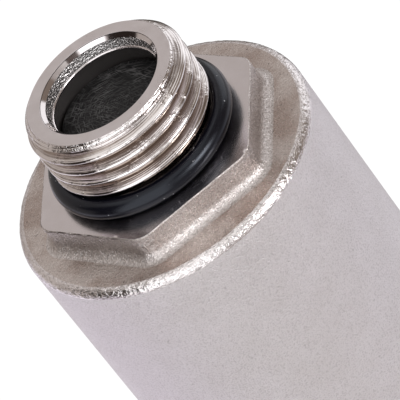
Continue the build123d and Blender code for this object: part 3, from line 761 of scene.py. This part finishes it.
def thread_nickel():
    """Cut thread: bright crests, roots painted dark as shade, and tool lines that climb with it."""
    shade = Shade("thread_nickel")
    radius, angle, x, y, z = shade.polar()
    climb = shade.minus(z, shade.times(angle, THREAD_PITCH * MM))
    across = shade.plus(climb, shade.times(radius, 0.9))
    helix = shade.combine(across, shade.times(x, 0.02), shade.times(y, 0.02))
    lines = shade.noise(0.21, 1, 0.5, helix)
    bands = shade.noise(0.62, 2, 0.5, helix)
    cloud = shade.noise(1.6, 3, 0.6)
    torn = shade.remap(shade.noise(2.6, 2, 0.5), 0.55, 0.66, smooth=True)
    by_end = shade.remap(z, 1.1 * MM, 0.4 * MM)
    chipped = shade.times(by_end, shade.remap(cloud, 0.44, 0.57))
    rough_cut = shade.greatest(torn, chipped)
    scored = shade.times(shade.remap(lines, 0.47, 0.41), shade.remap(cloud, 0.36, 0.60, 0.35, 0.9))
    root_r = THREAD_R - WHITWORTH_DEPTH * THREAD_PITCH
    # The roots are painted dark as shade in the base colour, except near the end face.
    out_of_root = shade.remap(radius, (root_r + 0.15) * MM, (THREAD_R - 0.2) * MM, smooth=True)
    unshaded = shade.greatest(out_of_root, shade.remap(z, 1.4 * MM, 0.9 * MM))
    tone = shade.blend(shade.remap(bands, 0.35, 0.65), THREAD_LOW, THREAD_HIGH)
    tone = shade.blend(scored, tone, THREAD_SCORE)
    shade.set("Base Color", shade.blend(unshaded, THREAD_ROOT_SHADE, tone))
    shade.set("Metallic", 1.0)
    shade.set("Roughness", shade.remap(cloud, 0.3, 0.7, 0.06, 0.17))
    shade.bump(bands, 0.034)
    shade.bump(lines, 0.055)
    shade.bump(shade.times(shade.noise(0.24, 2, 0.6), rough_cut), 0.08)
    return shade.material


def rubber(name):
    """Black rubber with a low sheen, a faint grain and specks of dust."""
    shade = Shade(name)
    soft = shade.noise(1.5, 3, 0.6)
    speck = shade.remap(shade.noise(0.42, 1, 0.5), 0.755, 0.79)
    black = shade.blend(soft, (0.002, 0.002, 0.004), (0.004, 0.004, 0.007))
    shade.set("Base Color", shade.blend(speck, black, (0.30, 0.30, 0.31)))
    shade.set("Roughness", shade.remap(soft, 0.3, 0.7, 0.17, 0.25))
    shade.set("Specular IOR Level", 0.36)
    shade.set("Specular Tint", (0.84, 0.90, 1.0))
    shade.bump(shade.noise(0.16, 3, 0.6), 0.010)
    return shade.material


def scratched_plastic():
    """Dark moulded plastic whose end face is covered in hair-fine scratches."""
    shade = Shade("float_plastic")
    radius, angle, x, y, z = shade.polar()
    warp = shade.noise(4.5, 1, 0.5)
    bent = shade.plus(radius, shade.times(warp, 2.2 * MM))
    arcs = shade.combine(bent, shade.times(angle, 3 * MM), 0.0)
    scratches = [shade.remap(shade.noise(0.14, 1, 0.5, arcs), 0.53, 0.64)]
    for turn, layer in ((0.35, 0.01), (0.75, 0.02), (1.25, 0.03)):
        along = shade.plus(shade.times(x, math.cos(turn)), shade.times(y, math.sin(turn)))
        across = shade.minus(shade.times(y, math.cos(turn)), shade.times(x, math.sin(turn)))
        wavy = shade.plus(across, shade.times(warp, MM))
        hair = shade.combine(shade.times(along, 0.07), wavy, layer)
        scratches.append(shade.remap(shade.noise(0.14, 1, 0.5, hair), 0.60, 0.70))
    spokes = shade.combine(shade.times(radius, 0.12), shade.times(angle, 0.036), 0.0)
    edge = shade.remap(radius, 5.8 * MM, 7.0 * MM, smooth=True)
    fray = shade.remap(shade.noise(0.22, 1, 0.6, spokes), 0.54, 0.66)
    inner = shade.times(shade.greatest(*scratches), shade.remap(edge, 0, 1, 1, 0.5))
    lines = shade.greatest(inner, shade.times(fray, edge))
    patch = shade.remap(shade.noise(2.4, 2, 0.5), 0.35, 0.65, 0.35, 1.0, smooth=True)
    lines = shade.times(lines, patch)
    shade.set("Base Color", shade.blend(lines, (0.005, 0.0048, 0.0048), (0.085, 0.082, 0.082)))
    shade.set("Roughness", shade.remap(lines, 0, 1, 0.5, 0.7))
    shade.set("Specular IOR Level", 0.16)
    shade.bump(lines, 0.02)
    return shade.material


def plastic(name, dark, light, roughness):
    """Moulded plastic with a fine spark-eroded grain."""
    shade = Shade(name)
    cloud = shade.noise(4.0, 3, 0.5)
    shade.set("Base Color", shade.blend(cloud, dark, light))
    shade.set("Roughness", shade.remap(cloud, 0.3, 0.7, roughness - 0.05, roughness + 0.07))
    shade.bump(shade.noise(0.22, 2, 0.5), 0.012)
    return shade.material


def steel(name, tone, roughness):
    """Stainless steel with a drawn grain."""
    shade = Shade(name)
    drawn = shade.noise(0.10, 3, 0.6, shade.stretch(shade.place, (0.08, 1.0, 1.0)))
    dark = tuple(v * 0.85 for v in tone)
    shade.set("Base Color", shade.blend(drawn, dark, tone))
    shade.set("Metallic", 1.0)
    shade.set("Roughness", shade.remap(drawn, 0.3, 0.7, roughness - 0.06, roughness + 0.08))
    shade.bump(drawn, 0.004)
    return shade.material


# ------------------------------------------------------------------ make the pieces
CAST_LOW = (0.69, 0.655, 0.655)
CAST_HIGH = (0.72, 0.685, 0.69)
WARM_LOW = (0.415, 0.33, 0.29)
WARM_HIGH = (0.60, 0.535, 0.50)
WALL_LOW = (0.51, 0.46, 0.44)
WALL_HIGH = (0.615, 0.565, 0.545)
RIM_HIGH = (0.84, 0.80, 0.80)
# Height of the broken dark line on the hex wall.
DARK_LINE_HEIGHT = HEX_FACE + 0.16
# Near-black painted shade for the inner surfaces.
INNER_SHADE_LOW = (0.045, 0.038, 0.034)
INNER_SHADE_HIGH = (0.085, 0.070, 0.062)
LIP_LOW = (0.84, 0.81, 0.80)
LIP_HIGH = (0.95, 0.93, 0.92)
cast = blasted_nickel(
    "cast_nickel", grain_mm=0.20, depth_mm=0.12, roughness=0.42, low=CAST_LOW, high=CAST_HIGH,
    contrast=0.20, pitted=0.25,
)
wall_nickel = blasted_nickel(
    "wall_nickel", grain_mm=0.25, depth_mm=0.09, roughness=0.34, low=WALL_LOW, high=WALL_HIGH,
    contrast=0.50, pitted=0.5, dark_line_mm=DARK_LINE_HEIGHT,
)
flat_nickel = blasted_nickel(
    "flat_nickel", grain_mm=0.26, depth_mm=0.06, roughness=0.33, low=WARM_LOW, high=WARM_HIGH,
    contrast=0.26, pitted=0.8,
)
rim_nickel = blasted_nickel(
    "rim_nickel", grain_mm=0.26, depth_mm=0.10, roughness=0.16, low=NICKEL_MID, high=RIM_HIGH,
    contrast=0.42, pitted=0.5, drawn=2.4,
)
lip_nickel = blasted_nickel(
    "lip_nickel", grain_mm=0.16, depth_mm=0.05, roughness=0.26, low=LIP_LOW, high=LIP_HIGH, contrast=0.3
)
land_nickel = turned_nickel("land_nickel", line_mm=0.14, depth_mm=0.005, roughness=0.20)
stub_nickel = thread_nickel()
face_nickel = turned_nickel("face_nickel", line_mm=0.12, depth_mm=0.006, roughness=0.32)
mouth_nickel = turned_nickel("mouth_nickel", line_mm=0.16, depth_mm=0.003, roughness=0.09)
# The inside of the chamber and of the cover, and a thin band at the mouth's edge, are painted near black
# as shade.
inner_brass_painted_shade = turned_nickel(
    "inner_brass_painted_shade", line_mm=0.3, depth_mm=0.02, roughness=0.5, low=INNER_SHADE_LOW, high=INNER_SHADE_HIGH
)
# The stub's bore is painted near black as shade, without a metal's gleam, so it uses the plastic shader.
bore_painted_shade = plastic(
    "bore_painted_shade", dark=(0.020, 0.017, 0.016), light=(0.042, 0.037, 0.035), roughness=0.6
)
black_rubber = rubber("black_rubber")
float_black = scratched_plastic()
acetal = plastic("acetal", dark=(0.72, 0.71, 0.66), light=(0.82, 0.81, 0.77), roughness=0.42)
cap_black = plastic(
    "cap_black", dark=(0.016, 0.016, 0.017), light=(0.028, 0.028, 0.03), roughness=0.38
)
stainless = steel("stainless", tone=(0.66, 0.66, 0.66), roughness=0.28)
spring_steel = steel("spring_steel", tone=(0.58, 0.58, 0.59), roughness=0.26)

finish_of_zone = {
    FORGED: cast,
    HEX_WALL: wall_nickel,
    HEX_LAND: land_nickel,
    THREAD: stub_nickel,
    END_FACE: face_nickel,
    MOUTH: mouth_nickel,
    LIP: lip_nickel,
    INSIDE: inner_brass_painted_shade,
    SHOULDER_FLAT: flat_nickel,
    RIM: rim_nickel,
    BORE: bore_painted_shade,
}
stand_for(build_body(list(finish_of_zone.values())), "vent_body", "root")
stand_for(build_ring(black_rubber), "thread_o_ring", "root")
stand_for(build_cover([cast, land_nickel, inner_brass_painted_shade]), "cover", "root")
stand_for(build_jet(face_nickel), "jet", "root")
stand_for(build_cap(cap_black), "vent_cap", "vent_cap")

finish_of = {
    "cover_o_ring": black_rubber,
    "jet_o_ring": black_rubber,
    "poppet_seal": black_rubber,
    "cap_disc": black_rubber,
    "valve_holder": acetal,
    "poppet": acetal,
    "holder_screws": stainless,
    "lever_pin": stainless,
    "lever": stainless,
    "float_hook": stainless,
    "hook_screws": stainless,
    "pin_clip": spring_steel,
    "stem_clip": spring_steel,
    "closing_spring": spring_steel,
    "float_shell": float_black,
    "float_lid": float_black,
}
for node_name, material in finish_of.items():
    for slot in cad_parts[node_name].material_slots:
        slot.material = material

# ------------------------------------------------------------------ stage, light, camera
SCENE = bpy.context.scene
SCENE.view_settings.view_transform = "Standard"

# The studio as the metal sees it. Each patch has its middle and half width as a
# heading in degrees from +Y toward -X, its lowest and highest elevation, and its light.
PATCHES = [
    ("side wall", 132, 36, -56, 10, (0.50, 0.45, 0.42)),
    ("right wall", -92, 27, -62, 0, (0.24, 0.195, 0.165)),
    ("far wall", 180, 22, -58, -12, (0.575, 0.535, 0.52)),
    ("tall window", 39, 29, -66, 14, (1.75, 1.76, 1.80)),
    ("tall window's top", 39, 29, 14, 66, (0.60, 0.575, 0.565)),
    ("left sky", 118, 42, 14, 66, (0.96, 0.91, 1.01)),
    ("second window", -28, 30, -44, -8, (1.10, 1.09, 1.08)),
    ("key lamp", -38, 15, -38, -17, (8.6, 8.6, 8.8)),
    ("back window", -128, 23, -34, 2, (1.25, 1.25, 1.28)),
    ("right sky", -102, 62, 12, 66, (0.83, 0.81, 0.86)),
    ("dark curtain", 84, 12, -50, 14, (0.035, 0.025, 0.022)),
    ("curtain's hem", 98, 22, -46, -18, (0.025, 0.018, 0.015)),
    ("photographer", -9, 15, -60, -48, (0.10, 0.075, 0.066)),
    ("back shade", -163, 13, 6, 40, (0.10, 0.085, 0.075)),
]
# Between the patches: the light from below, level and above, and the elevations
# over which one of them becomes the next.
BELOW = (1.10, 1.09, 1.08)
LEVEL = (0.46, 0.42, 0.40)
ABOVE = (0.66, 0.62, 0.63)
LEVEL_TO_ABOVE = (12, 34)
LEVEL_TO_BELOW = (-48, -58)
# A patch fades over this many degrees at its sides, and over twice as many at its top and foot.
SOFT_EDGE = 5.0
# The strength of the plain white that the camera sees behind the vent.
BACKDROP = 1.05


def build_studio():
    """The world: patches of light as the metal sees them, and plain white for the camera."""
    world = bpy.data.worlds.new("studio")
    world.use_nodes = True
    sky = Nodes(world.node_tree)
    x, y, z = sky.split(sky.node("ShaderNodeTexCoord").outputs["Generated"])
    degrees = 360 / TURN
    heading = sky.times(sky.calc("ARCTAN2", sky.times(x, -1.0), y), degrees)
    elevation = sky.times(sky.calc("ARCSINE", z), degrees)
    light = sky.blend(sky.remap(elevation, *LEVEL_TO_ABOVE, smooth=True), LEVEL, ABOVE)
    light = sky.blend(sky.remap(elevation, *LEVEL_TO_BELOW, smooth=True), light, BELOW)
    for _, middle, half, low, high, colour in PATCHES:
        apart = sky.calc("PINGPONG", sky.minus(heading, float(middle)), 180.0)
        across = sky.remap(apart, half + SOFT_EDGE / 2, half - SOFT_EDGE / 2, smooth=True)
        above = sky.remap(elevation, low - SOFT_EDGE, low + SOFT_EDGE, smooth=True)
        below = sky.remap(elevation, high + SOFT_EDGE, high - SOFT_EDGE, smooth=True)
        share = sky.times(across, sky.times(above, below))
        light = sky.blend(share, light, colour)
    lit = sky.node("ShaderNodeBackground")
    sky.link(light, lit.inputs["Color"])
    seen = sky.node("ShaderNodeBackground")
    sky.feed((1.0, 1.0, 1.0), seen.inputs["Color"])
    seen.inputs["Strength"].default_value = BACKDROP
    choose = sky.node("ShaderNodeMixShader")
    sky.link(sky.node("ShaderNodeLightPath").outputs["Is Camera Ray"], choose.inputs[0])
    sky.link(lit.outputs[0], choose.inputs[1])
    sky.link(seen.outputs[0], choose.inputs[2])
    sky.link(choose.outputs[0], sky.node("ShaderNodeOutputWorld").inputs["Surface"])
    SCENE.world = world


build_studio()


# How far from the vent's axis, in metres, the floor starts and ends its fade to white.
FADE_START = 0.03
FADE_END = 0.20


def one_way_floor(size):
    """A pale floor that fades into the white behind it and shows from above only."""
    material = bpy.data.materials.new("floor_paper")
    material.use_nodes = True
    paper = Nodes(material.node_tree)
    place = paper.node("ShaderNodeTexCoord").outputs["Object"]
    x, y, z = paper.split(place)
    squares = paper.plus(paper.times(x, x), paper.times(y, y))
    far = paper.remap(paper.calc("SQRT", squares), FADE_START, FADE_END, smooth=True)
    lit = paper.node("ShaderNodeBsdfDiffuse")
    grain = paper.noise_at(place, 0.6)
    paper.feed(paper.blend(grain, (0.85, 0.85, 0.85), (0.89, 0.89, 0.89)), lit.inputs["Color"])
    glow = paper.node("ShaderNodeEmission")
    paper.feed((1.0, 1.0, 1.0), glow.inputs["Color"])
    glow.inputs["Strength"].default_value = BACKDROP
    clear = paper.node("ShaderNodeBsdfTransparent")
    faded = paper.node("ShaderNodeMixShader")
    for source, target in zip((far, lit.outputs[0], glow.outputs[0]), faded.inputs):
        paper.link(source, target)
    choose = paper.node("ShaderNodeMixShader")
    side = paper.node("ShaderNodeNewGeometry").outputs["Backfacing"]
    for source, target in zip((side, faded.outputs[0], clear.outputs[0]), choose.inputs):
        paper.link(source, target)
    paper.link(choose.outputs[0], paper.node("ShaderNodeOutputMaterial").inputs["Surface"])
    mesh = bpy.data.meshes.new("floor")
    half = size / 2
    level = cad_low[2]
    corners = [(-half, -half, level), (half, -half, level), (half, half, level), (-half, half, level)]
    mesh.from_pydata(corners, [], [(0, 1, 2, 3)])
    mesh.materials.append(material)
    floor = bpy.data.objects.new("floor", mesh)
    SCENE.collection.objects.link(floor)
    floor.visible_diffuse = False
    floor.visible_glossy = False
    floor.visible_shadow = False


one_way_floor(4.0)

# The camera looks up at the stub from below; its turn about its own axis
# sets the stub to the upper left of the picture.
AIM = Vector((0.00055, 0.00899, 0.01513))
CAMERA_DISTANCE = 0.470
CAMERA_AZIMUTH = math.radians(93.27)
CAMERA_ELEVATION = math.radians(-37.67)
CAMERA_ROLL = math.radians(142.6)
CAMERA_LENS = 374.8
to_camera = Vector(
    (
        math.cos(CAMERA_ELEVATION) * math.cos(CAMERA_AZIMUTH),
        math.cos(CAMERA_ELEVATION) * math.sin(CAMERA_AZIMUTH),
        math.sin(CAMERA_ELEVATION),
    )
)
camera_data = bpy.data.cameras.new("camera")
camera_data.sensor_width = 36
camera_data.lens = CAMERA_LENS
camera_data.clip_start = 0.01
camera_data.clip_end = 20
camera = bpy.data.objects.new("camera", camera_data)
level_turn = to_camera.to_track_quat("Z", "Y").to_matrix().to_4x4()
camera.matrix_world = (
    Matrix.Translation(AIM + to_camera * CAMERA_DISTANCE)
    @ level_turn
    @ Matrix.Rotation(CAMERA_ROLL, 4, "Z")
)
SCENE.collection.objects.link(camera)
SCENE.camera = camera


def softbox(name, direction, distance, width, height, power):
    """An area light that faces the point that the camera aims at."""
    light = bpy.data.lights.new(name, "AREA")
    light.shape = "RECTANGLE"
    light.size = width
    light.size_y = height
    light.energy = power
    lamp = bpy.data.objects.new(name, light)
    toward = Vector(direction).normalized()
    facing = toward.to_track_quat("Z", "Y").to_matrix().to_4x4()
    lamp.matrix_world = Matrix.Translation(AIM + toward * distance) @ facing
    SCENE.collection.objects.link(lamp)


softbox("overhead", (0.1, -0.4, 1.0), 0.8, 0.5, 0.5, 1.0)
